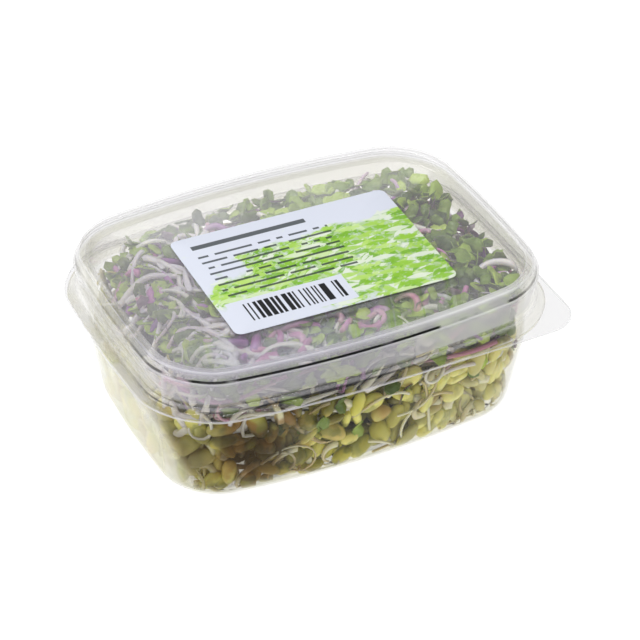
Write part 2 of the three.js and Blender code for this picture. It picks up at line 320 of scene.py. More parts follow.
def draw(name, points, quads, triangles, **marks):
    """Makes a smooth mesh object from points in millimetres, and fixes it to the pack's one body. Each
    mark has a number for each point."""
    mesh = bpy.data.meshes.new(name)
    points = np.asarray(points, float).reshape(-1, 3)
    quads = np.asarray(quads, np.int32).reshape(-1, 4)
    triangles = np.asarray(triangles, np.int32).reshape(-1, 3)
    sizes = np.concatenate([np.full(len(quads), 4), np.full(len(triangles), 3)])
    starts = np.concatenate([[0], np.cumsum(sizes)[:-1]]).astype(np.int32)
    mesh.vertices.add(len(points))
    mesh.vertices.foreach_set("co", (points * 0.001).ravel())
    mesh.loops.add(int(sizes.sum()))
    mesh.loops.foreach_set("vertex_index", np.concatenate([quads.ravel(), triangles.ravel()]))
    mesh.polygons.add(len(sizes))
    mesh.polygons.foreach_set("loop_start", starts)
    mesh.polygons.foreach_set("use_smooth", np.ones(len(sizes), bool))
    for key, values in marks.items():
        layer = mesh.attributes.new(key, "FLOAT", "POINT")
        layer.data.foreach_set("value", np.asarray(values, np.float32).ravel())
    mesh.update(calc_edges=True)
    made = bpy.data.objects.new(name, mesh)
    scene.collection.objects.link(made)
    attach(made, "root")
    return made


def tubes(rings, tips):
    """Closed bodies of the same build: rings is bodies x steps x sides x 3, anticlockwise round the
    way ahead, and tips is bodies x 2 x 3. Gives their points, quads and triangles."""
    count, steps, sides, _ = rings.shape
    step = np.arange(steps - 1)[:, None] * sides
    here = np.arange(sides)
    after = (here + 1) % sides
    quads = np.stack([step + here, step + after, step + sides + after, step + sides + here], -1)
    near, far = steps * sides, steps * sides + 1
    ends = (steps - 1) * sides
    triangles = np.concatenate([
        np.stack([np.full(sides, near), after, here], -1),
        np.stack([np.full(sides, far), ends + here, ends + after], -1),
    ])
    base = (np.arange(count) * (near + 2))[:, None, None]
    points = np.concatenate([rings.reshape(count, -1, 3), tips], 1)
    return points, quads.reshape(1, -1, 4) + base, triangles[None] + base


def formed_sheet(name, rows):
    """A formed sheet: its rings run from the middle of the lower face out to the edge and back to
    the middle of the upper face."""
    rows = rounded(rows, ROUNDING)
    turn = np.broadcast_to(np.arange(AROUND) / AROUND, (len(rows), AROUND))
    shape = np.where((turn >= 0.75)[..., None], rows[:, None, 6:11], rows[:, None, :5])
    heights = np.broadcast_to(rows[:, None, 5:6], (*turn.shape, 1))
    rings = np.concatenate([outline(shape, turn), heights], -1)
    tips = np.array([[[0, 0, rings[0, 0, 2]], [0, 0, rings[-1, 0, 2]]]])
    columns = (np.append(np.repeat(column, AROUND), column[[0, -1]]) for column in rows[:, 11:].T)
    cut, crease, panel = columns
    return draw(name, *tubes(rings[None], tips), cut=cut, crease=crease, panel=panel)


def base_rows(depth):
    """Rows round the tub's base edge, at a depth into the sheet from its outside."""
    angle = np.linspace(0, math.pi / 2, BASE_STEPS)
    radius = BASE_FILLET - depth
    heights = BASE_FILLET - radius * np.cos(angle)
    share = np.clip(heights / BAND_FOOT, 0, 1)[:, None]
    shapes = grown(BASE + (MOUTH - BASE) * share, (radius * np.sin(angle) - BASE_FILLET)[:, None])
    return [row(shape, z) for shape, z in zip(shapes, heights)]


leg_foot, leg_top = grown(RIM, -0.6), grown(RIM, 0.5)
flange_edge = grown(RIM, FLANGE_WIDTH)
underside = RIM_TOP - SHEET
flange_foot = TUB_FLANGE_TOP - SHEET
tub = formed_sheet("clear_tub", [
    *base_rows(0),
    row(wall(BAND_FOOT), BAND_FOOT),
    row(MOUTH, underside - BEND / 2),
    row(grown(MOUTH, BEND / 2), underside),
    row(grown(leg_top, -SHEET - BEND / 2), underside),
    row(grown(leg_top, -SHEET), underside - BEND / 2),
    row(grown(leg_foot, -SHEET), flange_foot),
    row(grown(flange_edge, -CUT_EDGE), flange_foot),
    row(flange_edge, flange_foot, cut=1),
    row(flange_edge, TUB_FLANGE_TOP, cut=1),
    row(grown(flange_edge, -CUT_EDGE), TUB_FLANGE_TOP),
    row(leg_foot, TUB_FLANGE_TOP),
    row(leg_top, RIM_TOP - BEND),
    row(grown(leg_top, -BEND), RIM_TOP),
    row(MOUTH, RIM_TOP),
    row(grown(MOUTH, -SHEET), RIM_TOP - BEND),
    row(grown(wall(BAND_FOOT), -SHEET), BAND_FOOT),
    *base_rows(SHEET)[::-1],
])


def toward_front(film, across, depth):
    """1 along the pack's front, but for its right end, and 0.15 elsewhere."""
    return film.step(depth, -0.008, -0.038) * film.step(across, 0.06, 0.036) * 0.85 + 0.15


def clear_plastic(name, tint, gloss, cloud_and_painted_light_at):
    """Clear formed sheet. Light goes through it with a faint tint. It is dimmer where it is seen
    edge-on (0.14 f^4, where f is 1 less the cosine), and painted shade darkens it in broken lines
    along its creases, most of all in front and high up. It mirrors more the flatter it is seen
    (gloss + 0.85 f^5). The last argument gives how much cloud is on a place, part of it damp and
    dirt and part painted light, its colour, and how much painted shade dims light there besides.
    Cut edges are cloudier, and the same mark paints highlight lines along some bends."""
    film = Finish(name)
    place = film.place()
    across, depth, height = film.axes(place)
    bump = film.bump(film.noise(place, 60.0, 1.0), 0.05, 0.001)
    flat = film.node("LayerWeight", {"Blend": 0.5, "Normal": bump}, output="Facing")
    broken = film.step(film.noise(place, 75.0, 2.0), 0.4, 0.5)
    low = film.step(height, 0.044, 0.04) * (film.step(across, 0.0, 0.03) * 0.6 + 0.3)
    # painted shade: broken dark lines along the marked bends, strongest in front, weaker low down
    crease = film.step(film.mark("crease"), 0.6, 0.85) * broken * toward_front(film, across, depth)
    crease = crease * (1 - low)
    share, colour, shade = cloud_and_painted_light_at(film, place)
    clear = film.node("BsdfTransparent", {"Color": (*tint, 1)})
    dim = film.node("BsdfTransparent", {"Color": (0.03, 0.03, 0.035, 1)})
    through = film.node("MixShader", {0: flat**4 * 0.14 + crease + shade, 1: clear, 2: dim})
    milk = film.node("BsdfPrincipled", {
        "Base Color": colour,
        "Roughness": 0.35,
        "Specular IOR Level": 0.3,
    })
    # cut edges are cloudier, and on bends the same mark paints highlight lines
    milk_and_painted_light = share * (1 - crease) + film.mark("cut") * 0.4
    body = film.node("MixShader", {0: milk_and_painted_light, 1: through, 2: milk})
    mirror = film.node("BsdfAnisotropic", {"Color": (1, 1, 1, 1), "Roughness": 0.04, "Normal": bump})
    return film.surface(film.node("MixShader", {0: flat**5 * 0.85 + gloss, 1: body, 2: mirror}))


def tub_cloud_and_painted_light(film, place):
    """A little cloud on the folded rim, and a painted brightening round the base edge that stands in
    for light coming through it from the white table. The damp end wall at -X has much cloud, with
    yellow, peach and green smears where the mix has touched it. Low in the corner (-X, -Y), painted
    shade dims the beans behind the wall, under a little brown cloud."""
    across, depth, height = film.axes(place)
    rim = film.step(height, 0.0358, 0.0362)
    # painted light: cream cloud round the base edge, for light coming through from the table
    foot = film.step(height, 0.0065, 0.0025)
    damp = film.step(0 - across - height * 0.35, 0.0448, 0.0486)
    drawn = film.node("Mapping", {"Vector": place, "Scale": (1, 1, 0.45)})
    smear = film.noise(drawn, 95.0, 2.0)
    blot = film.noise(drawn, 150.0, 1.0)
    yellow = film.step(smear - height * 6.0, 0.26, 0.48)
    colour = film.mix(yellow, (0.97, 0.97, 0.93, 1), (0.93, 0.91, 0.6, 1))
    colour = film.mix(film.step(blot, 0.52, 0.6) * yellow * 0.7, colour, (0.93, 0.8, 0.66, 1))
    colour = film.mix(film.step(blot, 0.46, 0.38) * yellow * 0.7, colour, (0.74, 0.8, 0.5, 1))
    # painted shade: the wall dims the beans low in the corner (-X, -Y), with a little brown cloud
    brown_corner_shade = film.step(across + depth, -0.056, -0.072) * (1 - damp)
    brown_corner_shade = brown_corner_shade * film.step(height, 0.031, 0.022) * film.step(height, 0.003, 0.007)
    colour = film.mix(brown_corner_shade, colour, (0.4, 0.22, 0.02, 1))
    share = (1 - rim) * damp * (0.34 - yellow * 0.1) + rim * 0.03 + foot * 0.12 + brown_corner_shade * 0.05 + 0.004
    return share, colour, brown_corner_shade * (film.step(smear, 0.38, 0.5) * 0.16 + 0.1)


tub.data.materials.append(clear_plastic("tub_plastic", TUB_TINT, TUB_GLOSS, tub_cloud_and_painted_light))
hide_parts("tub")


# Lid. A second sheet of clear plastic, formed and pressed over the tub's rim: a sunk flat panel, a
# raised bead round it, a shoulder, a skirt with a ledge at its foot, and a flange with a square pull
# tab at one corner. Its panel has sweated.

PANEL_TOP = 45.3
BEAD_TOP = PANEL_TOP + 3.7
BEAD_WIDTH = 2.8
SHOULDER_TOP = 46.2
LEDGE_TOP = 38.3
LID_FLANGE_TOP = 36.4
LID_FLANGE_EDGE = grown(RIM, 4.15)
TAB = np.array([62.6, 47.6, 9.1, 0.45, 1.25])
LID_TINT = (0.975, 0.973, 0.976)
LID_GLOSS = 0.03


def lid_row(offset, z, **marks):
    """A ring at an offset outside the bead's outer edge."""
    return row(grown(RIM, offset), z, **marks)


plug = -BEAD_WIDTH
lid = formed_sheet("clear_lid", [
    lid_row(plug - 0.3, PANEL_TOP - SHEET, panel=1),
    lid_row(plug + 0.2, PANEL_TOP),
    lid_row(plug + SHEET, BEAD_TOP - SHEET - 0.2),
    lid_row(plug + SHEET + 0.1, BEAD_TOP - SHEET),
    lid_row(-SHEET - 0.2, BEAD_TOP - SHEET),
    lid_row(-SHEET, BEAD_TOP - SHEET - 0.2),
    lid_row(-0.2, SHOULDER_TOP + BEND),
    lid_row(0.1, SHOULDER_TOP - SHEET),
    lid_row(0.75, SHOULDER_TOP - SHEET),
    lid_row(0.85, SHOULDER_TOP - 0.7),
    lid_row(-0.05, LEDGE_TOP + BEND),
    lid_row(0, LEDGE_TOP - SHEET),
    lid_row(0.5, LEDGE_TOP - SHEET - 0.1),
    lid_row(0.8, LID_FLANGE_TOP - 0.1),
    lid_row(1.4, LID_FLANGE_TOP - SHEET),
    row(grown(LID_FLANGE_EDGE, -CUT_EDGE), LID_FLANGE_TOP - SHEET, grown(TAB, -CUT_EDGE)),
    row(LID_FLANGE_EDGE, LID_FLANGE_TOP - SHEET, TAB, cut=1),
    row(LID_FLANGE_EDGE, LID_FLANGE_TOP, TAB, cut=1),
    row(grown(LID_FLANGE_EDGE, -CUT_EDGE), LID_FLANGE_TOP, grown(TAB, -CUT_EDGE)),
    lid_row(1.8, LID_FLANGE_TOP),
    # painted shade: the crease marks from here to the shoulder are dark lines along the bends
    lid_row(1.25, LID_FLANGE_TOP + 0.6, crease=1),
    # painted highlight: this cut mark is a bright line along the ledge's bend
    lid_row(1.0, LEDGE_TOP, cut=0.8),
    lid_row(0.5, LEDGE_TOP + 0.1, crease=1),
    lid_row(0.45, LEDGE_TOP + 0.8),
    lid_row(1.35, SHOULDER_TOP - BEND),
    # painted highlight: this cut mark is a bright line along the shoulder's edge
    lid_row(1.05, SHOULDER_TOP, cut=0.6),
    lid_row(0.6, SHOULDER_TOP, crease=1),
    lid_row(0.35, SHOULDER_TOP + BEND, crease=1),
    lid_row(0.25, SHOULDER_TOP + 0.9),
    lid_row(0, BEAD_TOP - BEND),
    # painted highlights: the cut marks on the bead's top are bright lines along its bends
    lid_row(-0.4, BEAD_TOP, cut=0.9),
    lid_row(-0.8, BEAD_TOP),
    lid_row(plug + 0.8, BEAD_TOP),
    lid_row(plug + 0.4, BEAD_TOP, cut=0.6),
    lid_row(plug, BEAD_TOP - BEND),
    lid_row(plug - 0.3, PANEL_TOP + BEND),
    lid_row(plug - 0.6, PANEL_TOP, panel=1),
])


def lid_cloud_and_painted_light(film, place):
    """Sweat on the panel, as a fine grain in wide soft patches that are thickest at the left and the
    back. Bead and skirt carry a painted grey haze along the front, cool grey at the left of it, that
    stands in for the reflections and shade their bends show there. The flange dims what is under it
    a little, as painted shade under the rim."""
    across, depth, height = film.axes(place)
    front = toward_front(film, across, depth)
    on_panel = film.step(film.mark("panel"), 0.3, 0.7)
    wet = film.step(film.noise(place, 38.0, 3.0) - across * 6.0 + depth * 2.0, 0.5, 0.78)
    grain = film.step(film.noise(place, 900.0, 2.0), 0.35, 0.7)
    sweat = (wet * (grain * 0.4 + 0.6) * 0.14 + 0.065) * on_panel
    # painted reflection and shade: grey haze on bead and skirt, strongest along the front
    skirt = film.step(height, 0.0386, 0.0396) * (1 - on_panel) * (front * 0.27 + 0.02)
    cool = film.step(across, 0.035, -0.01) * front
    colour = film.mix(cool, (0.95, 0.95, 0.95, 1), (0.66, 0.64, 0.71, 1))
    colour = film.mix(on_panel, colour, (0.9, 0.88, 0.93, 1))
    # painted shade: the last value dims what lies under the flange and tab
    return sweat + skirt + 0.008, colour, film.step(height, 0.037, 0.0366) * 0.05


lid.data.materials.append(clear_plastic("lid_plastic", LID_TINT, LID_GLOSS, lid_cloud_and_painted_light))
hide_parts("lid")


# Mung sprouts. Swollen beans, many of them come open in two halves, with a thick root tail that curls
# away from one end. They are pressed against the clear walls, so a place among them is a turn round
# the tub, a height, and a depth from the inside of the wall. Their middle is too dim to make out.

PERIMETER = 338.0
MIX_FOOT, MIX_TOP = 1.0, 44.4
BEAN_TOP = 29.0
BEAN_SIZE = np.array([8.3, 5.8, 5.2])
BEAN_SHARES = np.array([0.05, 0.22, 0.5, 0.78, 0.95])
BEAN_SIDES = 10
BEANS_OPEN = 0.45
BEANS_WITH_TAIL = 0.7
TAIL_LENGTH = (7, 17)
# Each row of beans by the wall: depth, count, distance apart, palest tint, and most that tails dip.
WALL_BEANS = [(3.1, 200, 6.9, 1.0, 2.6), (7.0, 170, 7.2, 0.16, 2.6)]
# Each layer of beans on the floor: height, count and distance apart.
FLOOR_BEANS = [(3.4, 80, 7.0), (7.8, 70, 7.4)]
HAIRS, HAIR_RADIUS = 26, 0.4
STEPS = 13
# Tints from 0 to 1 are beans, 2 to 3 tails and hairs, and this one the dim middle of a layer.
MIDDLE_TINT = 4.0

draws = np.random.default_rng(41)


def by_wall(turn, z, depth):
    """The point at a turn round the tub, a height, and a depth in from the inside of its wall."""
    turn, z, depth = np.broadcast_arrays(turn, z, depth)
    shape = grown(wall(z), -(SHEET + depth)[..., None])
    return np.concatenate([outline(shape, turn % 1), z[..., None]], -1)


def unit(vectors):
    """Each vector over its own length."""
    return vectors / np.maximum(np.linalg.norm(vectors, axis=-1, keepdims=True), 1e-9)


def stay_inside(points, inset):
    """Moves what would pass through the plastic back to it. A point's distance from the upright axis
    is cut to the wall's own distance in that direction and at that height."""
    turn = np.arange(720) / 720
    levels = np.array([0.6, 1.2, 2.2, 3.6, BASE_FILLET, BAND_FOOT, 45])
    angle = np.arctan2(points[..., 1], points[..., 0]) % (2 * math.pi)
    limits = []
    for level in levels:
        rim = outline(grown(wall(level), -(SHEET + inset)), turn)
        rim_angle = np.arctan2(rim[:, 1], rim[:, 0]) % (2 * math.pi)
        order = np.argsort(rim_angle)
        reach = np.hypot(*rim[order].T)
        limits.append(np.interp(angle, rim_angle[order], reach, period=2 * math.pi))
    place = np.interp(points[..., 2], levels, np.arange(len(levels)))
    below = np.floor(place).astype(int).clip(0, len(levels) - 2)
    limits = np.stack(limits)
    low = np.take_along_axis(limits, below[None], 0)[0]
    high = np.take_along_axis(limits, below[None] + 1, 0)[0]
    limit = low + (high - low) * (place - below)
    distance = np.hypot(points[..., 0], points[..., 1])
    shrink = np.minimum(1, limit / np.maximum(distance, 1e-6))
    return points * np.stack([shrink, shrink, np.ones_like(shrink)], -1)


def spread_out(places, period, distance, rounds=60):
    """Pushes flat places apart until they are about a distance from each other. period wraps them
    round the tub, or is 0 where they don't wrap."""
    for _ in range(rounds):
        apart = places[:, None] - places[None]
        if period:
            apart[..., 0] = (apart[..., 0] + period / 2) % period - period / 2
        gap = np.linalg.norm(apart, axis=-1) + np.eye(len(places)) * 1e3
        push = np.clip(distance - gap, 0, None) / distance
        places = places + (apart / gap[..., None] * push[..., None]).sum(1) * 0.35 * distance
    return places


def frame_at(turn, z, depth):
    """The place by the wall with the way along it, the way up it and the way out of it."""
    here = by_wall(turn, z, depth)
    along = unit(by_wall(turn + 0.002, z, depth) - by_wall(turn - 0.002, z, depth))
    up = unit(by_wall(turn, z + 0.4, depth) - by_wall(turn, z - 0.4, depth))
    return here, along, up, np.cross(along, up)


def beans(centre, axis, out, size):
    """Bean bodies: an egg drawn out along its axis, bent a little, with a groove down its outer side.

    The radius at share s of the length is (1 - |2s - 1|^2.6)^0.5, so the ends are blunt, and the
    groove takes off up to a tenth of it round the angle 0.
    """
    s = BEAN_SHARES
    angle = np.arange(BEAN_SIDES) / BEAN_SIDES * 2 * math.pi
    girth = (1 - np.abs(2 * s - 1) ** 2.6) ** 0.5
    groove = 1 - 0.1 * np.exp(-((np.angle(np.exp(1j * angle)) / 0.4) ** 2))
    bend = 0.1 * (1 - (2 * s - 1) ** 2)
    side = np.cross(axis, out)
    length, width, depth = (size[:, i, None, None] for i in range(3))
    radial = girth[:, None] * groove
    flat = radial * np.cos(angle)
    wide = radial * np.sin(angle)
    rings = (centre[:, None, None] + axis[:, None, None] * (length * (s[:, None] - 0.5))[..., None]
             + out[:, None, None] * (depth / 2 * flat - depth * bend[:, None])[..., None]
             + side[:, None, None] * (width / 2 * wide)[..., None])
    tips = np.stack([centre - axis * size[:, :1] * 0.5, centre + axis * size[:, :1] * 0.5], 1)
    return rings, tips


def bean_sizes(count):
    """Lengths, widths and depths: a seeded scale for each bean, times a slighter one for each way."""
    size = BEAN_SIZE * draws.uniform(0.78, 1.14, (count, 1))
    return size * draws.uniform((0.86, 0.92, 0.92), (1.08, 1.1, 1.1), (count, 3))


def bean_batch(centre, along, up, out, size, palest):
    """Beans lying flat against a surface at any turn, and tipped out of it a little. Near half of
    them have come open: two halves side by side, furthest apart at the end that has no root."""
    count = len(centre)
    spin = draws.uniform(0, 2 * math.pi, (count, 1))
    axis = unit(along * np.cos(spin) + up * np.sin(spin) + out * draws.normal(0, 0.14, (count, 1)))
    roll = draws.uniform(-1.1, 1.1, (count, 1))
    side = unit(np.cross(axis, out))
    face = unit(np.cross(side, axis) * np.cos(roll) + side * np.sin(roll))
    side = np.cross(axis, face)
    tint = draws.uniform(0, palest, count)
    opened = draws.uniform(0, 1, count) < BEANS_OPEN
    lean = draws.uniform(0.05, 0.3, (count, 1))
    bodies = [beans(centre[~opened], axis[~opened], face[~opened], size[~opened])]
    for way in (-1, 1):
        apart = (centre + side * size[:, 1:2] * (0.27 + lean * 0.3) * way)[opened]
        half = size[opened] * np.array([0.96, 0.56, 0.95])
        bodies.append(beans(apart, unit(axis - side * lean * way)[opened], face[opened], half))
    rings, tips = (np.concatenate(group) for group in zip(*bodies))
    tint = np.concatenate([tint[~opened], tint[opened], tint[opened]])
    points, quads, triangles = tubes(rings, tips)
    points = stay_inside(points, 0.1)
    points[..., 2] = np.clip(points[..., 2], 0.85, None)
    along_bean = np.append(np.repeat(BEAN_SHARES, BEAN_SIDES), [0, 1])
    return ((points, quads, triangles), tint, along_bean), axis


def tails(centre, axis, out, most_dip):
    """Root tails of seven beans in ten: each leaves its bean's end along the bean, turns in a
    widening curl in the plane of the wall, and dips behind its neighbours by a sine along the way."""
    rooted = draws.uniform(0, 1, len(centre)) < BEANS_WITH_TAIL
    axis, out = axis[rooted], out[rooted]
    start = centre[rooted] + axis * 3.2
    count, steps = len(start), 10
    lengths = draws.uniform(*TAIL_LENGTH, count)
    dip = draws.uniform(-1.2, most_dip, (count, 1))
    t = np.linspace(0, 1, steps)
    side = unit(np.cross(out, axis))
    bend = draws.choice([-1, 1], (count, 1)) * draws.uniform(0.8, 3.8, (count, 1))
    heading = bend * t ** draws.uniform(0.7, 1.8, (count, 1))
    pace = np.reshape(lengths, (-1, 1, 1)) / (steps - 1)
    cosine, sine = np.cos(heading)[..., None], np.sin(heading)[..., None]
    path = start[:, None] + np.cumsum((axis[:, None] * cosine + side[:, None] * sine) * pace, 1)
    sink = np.sin(t * math.pi * draws.uniform(0.6, 1.6, (count, 1))) * dip
    radius = draws.uniform(1.0, 1.6, (count, 1)) * (1 - 0.8 * t)
    return path - out[:, None] * sink[..., None], radius


def wander(count, length, curl):
    """Flat paths that start at the origin: their heading turns by a share of curl that is steady,
    and by another that grows along the way. Gives bodies x steps x 2."""
    t = np.linspace(0, 1, STEPS)
    start = draws.uniform(0, 2 * math.pi, (count, 1))
    steady = np.clip(draws.normal(0, 1, (count, 1)), -1.4, 1.4) * curl
    late = np.clip(draws.normal(0, 1, (count, 1)), -1.2, 1.2) * curl
    heading = start + steady * t + late * t**2
    pace = np.reshape(length, (-1, 1)) / (STEPS - 1)
    path = np.stack([np.cos(heading), np.sin(heading)], -1) * pace[..., None]
    return np.cumsum(path, 1) - path[:, :1]


def strands(path, radius, sides):
    """Round strands along paths (bodies x steps x 3). radius is bodies x steps. The section's first
    direction is carried along the path and kept square to it at every step."""
    ahead = unit(np.gradient(path, axis=1))
    across = np.cross(ahead[:, 0], [0.31, 0.52, 0.79])
    normals = []
    for step in range(path.shape[1]):
        across = unit(across - (across * ahead[:, step]).sum(-1, keepdims=True) * ahead[:, step])
        normals.append(across)
    first = np.stack(normals, 1)
    second = np.cross(ahead, first)
    angle = (np.arange(sides) / sides * 2 * math.pi)[:, None]
    section = np.cos(angle) * first[:, :, None] + np.sin(angle) * second[:, :, None]
    rings = path[:, :, None] + section * radius[:, :, None, None]
    near = path[:, 0] - ahead[:, 0] * radius[:, :1] * 0.6
    far = path[:, -1] + ahead[:, -1] * radius[:, -1:] * 0.6
    return rings, np.stack([near, far], 1)


def strand_batch(path, radius, tint, sides=5, inset=0.15):
    """Strands ready for joined(), kept inside the tub, with their share of the way as along."""
    points, quads, triangles = tubes(*strands(path, radius, sides))
    points = stay_inside(points, inset)
    points[..., 2] = np.clip(points[..., 2], MIX_FOOT, MIX_TOP)
    along = np.append(np.repeat(np.linspace(0, 1, path.shape[1]), sides), [0, 1])
    return (points, quads, triangles), tint, along


def dim_middle(foot, top, depth, left):
    """The dim middle of a layer: a closed lump a depth in from the wall, its face waved by sines, and
    cut off flat at left."""
    turns, levels = 96, 9
    z = np.linspace(foot, top, levels)[:, None]
    turn = np.broadcast_to(np.arange(turns) / turns, (levels, turns))
    round_tub = turn * 2 * math.pi
    wave = 0.9 * np.sin(round_tub * 23 + z * 0.9) + 0.7 * np.sin(round_tub * 14 - z * 1.3)
    rings = by_wall(turn, np.broadcast_to(z, turn.shape), depth + wave)[None]
    tips = np.array([[[0, 0, foot], [0, 0, top]]], float)
    points, quads, triangles = tubes(rings, tips)
    points[..., 0] = np.maximum(points[..., 0], left)
    return (points, quads, triangles), np.array([MIDDLE_TINT]), np.zeros(points.shape[1])


def joined(batches):
    """Several batches of bodies as one set of points, quads and triangles, with each point's tint and
    its share of the way along its body."""
    points, quads, triangles, tints, alongs = [], [], [], [], []
    base = 0
    for (batch_points, batch_quads, batch_triangles), tint, along in batches:
        bodies, size, _ = batch_points.shape
        points.append(batch_points.reshape(-1, 3))
        quads.append(batch_quads.reshape(-1, 4) + base)
        triangles.append(batch_triangles.reshape(-1, 3) + base)
        tints.append(np.broadcast_to(np.reshape(tint, (-1, 1)), (bodies, size)).ravel())
        alongs.append(np.broadcast_to(along, (bodies, size)).ravel())
        base += bodies * size
    mesh = [np.concatenate(parts) for parts in (points, quads, triangles)]
    return mesh, dict(tint=np.concatenate(tints), along=np.concatenate(alongs))


def bean_foot(turn):
    """Height of the lowest beans by the wall: least at the corner (-X, -Y), most across from it."""
    return 6.6 - 1.9 * np.cos((turn - 0.62) * 2 * math.pi)


mung_batches = []
for depth, count, distance, palest, most_dip in WALL_BEANS:
    places = draws.uniform((0, 4.5), (PERIMETER, BEAN_TOP - 3.5), (count, 2))
    places = spread_out(places, PERIMETER, distance)
    turn = places[:, 0] / PERIMETER
    height = np.clip(places[:, 1], bean_foot(turn), BEAN_TOP - 2.2)
    spot = frame_at(turn, height, depth + draws.uniform(-0.5, 1.5, count))
    batch, axis = bean_batch(*spot, bean_sizes(count), palest)
    path, radius = tails(spot[0], axis, spot[3], most_dip)
    mung_batches += [batch, strand_batch(path, radius, draws.uniform(2, 3, len(path)))]
for height, count, distance in FLOOR_BEANS:
    places = spread_out(draws.uniform((-42, -24), (42, 24), (count, 2)), 0, distance)
    centre = stay_inside(np.concatenate([places, np.full((count, 1), height)], 1), 9.5)
    ways = [np.full((count, 3), way, float) for way in ((1, 0, 0), (0, -1, 0), (0, 0, -1))]
    batch, axis = bean_batch(centre, *ways, bean_sizes(count), 1.0)
    path, radius = tails(centre, axis, ways[2], 2.0)
    mung_batches += [batch, strand_batch(path, radius, draws.uniform(2, 3, len(path)))]
walk = wander(HAIRS, draws.uniform(14, 32, HAIRS), 2.8)
turn = draws.uniform(0, 1, (HAIRS, 1)) + walk[..., 0] / PERIMETER
height = np.clip(draws.uniform(5, 34, (HAIRS, 1)) + walk[..., 1], 3, 36)
swing = np.sin(np.linspace(0, 5, STEPS) + draws.uniform(0, 6, (HAIRS, 1)))
radius = np.full((HAIRS, STEPS), HAIR_RADIUS) * draws.uniform(0.7, 1.3, (HAIRS, 1))
hairs = by_wall(turn, height, 0.6 + 1.4 * (1 + swing) / 2)
mung_batches.append(strand_batch(hairs, radius, np.full(HAIRS, 2.9), sides=4))
mung_batches.append(dim_middle(6.0, 28.0, 9.4, -39))
mesh, marks = joined(mung_batches)
mung = draw("mung_bean_sprouts", *mesh, **marks)


def moist(name, colour_of, roughness, scatter=0.25):
    """Moist plant flesh: soft inner scatter under a thin wet gloss, with a fine uneven skin. The dim
    middle of a layer is dull and has no gloss."""
    flesh = Finish(name)
    place = flesh.place()
    tint = flesh.mark("tint")
    skin = flesh.noise(place, 700.0, 3.0)
    inner = flesh.step(tint, MIDDLE_TINT - 0.6, MIDDLE_TINT - 0.4)
    return flesh.surface(flesh.node("BsdfPrincipled", {
        "Base Color": colour_of(flesh, place, tint, flesh.mark("along")),
        "Roughness": skin * 0.2 + roughness + inner * 0.5,
        "Subsurface Weight": scatter,
        "Subsurface Radius": (1.0, 0.8, 0.4),
        "Subsurface Scale": 0.002,
        "Specular IOR Level": 0.25,
        "Coat Weight": (1 - inner) * 0.3,
        "Coat Roughness": 0.05,
        "Normal": flesh.bump(skin, 0.25, 0.0003),
    }))


def mung_colour(flesh, place, tint, along):
    """Beans run from dark olive to pale yellow, with a few amber ones, under flecks of green skin.
    They are paler at one end and towards +X. Tails are ivory with browner tips. All have painted
    shade high up in the left half, are yellow by the end wall at -X, and are stained brown and
    rusty in the corner (-X, -Y)."""
    across, depth, height = flesh.axes(place)
    cloud = flesh.noise(place, 160.0, 3.0)
    stain_and_shade_noise = flesh.noise(place, 110.0, 2.0)
    bean = flesh.node("ValToRGB", {"Fac": tint}, stops=[
        (0.0, (0.03, 0.03, 0.004)),
        (0.12, (0.13, 0.12, 0.01)),
        (0.32, (0.48, 0.44, 0.035)),
        (0.58, (0.77, 0.72, 0.12)),
        (0.92, (0.92, 0.88, 0.26)),
        (0.97, (0.46, 0.28, 0.04)),
        (1.0, (0.26, 0.11, 0.012)),
    ])
    skin = flesh.step(cloud, 0.5, 0.4) * flesh.step(tint, 0.1, 0.3)
    bean = flesh.mix(skin * 0.65, bean, (0.17, 0.2, 0.015, 1))
    bean = flesh.mix(flesh.step(along, 0.45, 0.95) * 0.45, bean, (0.9, 0.86, 0.26, 1))
    bean = flesh.mix(flesh.step(across, -0.01, 0.045) * 0.65, bean, (0.92, 0.86, 0.42, 1))
    tail = flesh.mix(flesh.step(along, 0.1, 0.9), (0.86, 0.82, 0.6, 1), (0.6, 0.5, 0.28, 1))
    colour = flesh.mix(tint > 1.5, bean, tail)
    # painted shade: dark olive high up in the left half, broken into patches by the noise
    shade = flesh.step(across, 0.0, -0.03) * flesh.step(height, 0.013, 0.024)
    colour = flesh.mix(shade * flesh.step(stain_and_shade_noise, 0.42, 0.54) * 0.65, colour, (0.09, 0.095, 0.01, 1))
    end = flesh.step(across, -0.039, -0.046)
    colour = flesh.mix(end * 0.35, colour, (0.88, 0.84, 0.34, 1))
    brown = flesh.step(across + depth, -0.04, -0.075) * flesh.step(stain_and_shade_noise, 0.36, 0.5) * (1 - end * 0.8)
    rust = flesh.mix(flesh.step(cloud, 0.42, 0.58), (0.08, 0.045, 0.004, 1), (0.42, 0.2, 0.025, 1))
    colour = flesh.mix(brown * 0.8, colour, rust)
    return flesh.mix(tint > MIDDLE_TINT - 0.5, colour, (0.02, 0.012, 0.003, 1))


mung.data.materials.append(moist("mung_flesh", mung_colour, 0.28, 0.45))
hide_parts("mung_sprouts")


# Radish stems. White and cream ones wind along the wall above the beans and over the top of the mix,
# and pink to purple ones lie among the leaves. They are as soft and wet as the beans' tails.


def wall_stems(count, radii, lengths, curl, low, high):
    """Stems against the wall between two heights, at a depth that swings as they go."""
    base = draws.uniform(*radii, count)
    walk = wander(count, draws.uniform(*lengths, count), curl)
    height = np.clip(draws.uniform(low, high, (count, 1)) + walk[..., 1] * 0.8, low, high)
    turn = draws.normal(0.88, 0.22, (count, 1)) + walk[..., 0] / PERIMETER
    swing = np.sin(np.linspace(0, 4, STEPS) + draws.uniform(0, 6, (count, 1)))
    depth = base[:, None] + 0.2 + draws.uniform(0, 3.5, (count, 1)) + 1.2 * (1 + swing)
    path = by_wall(turn, height, depth)
    return strand_batch(path, stem_radius(base), draws.uniform(0, 1, count))


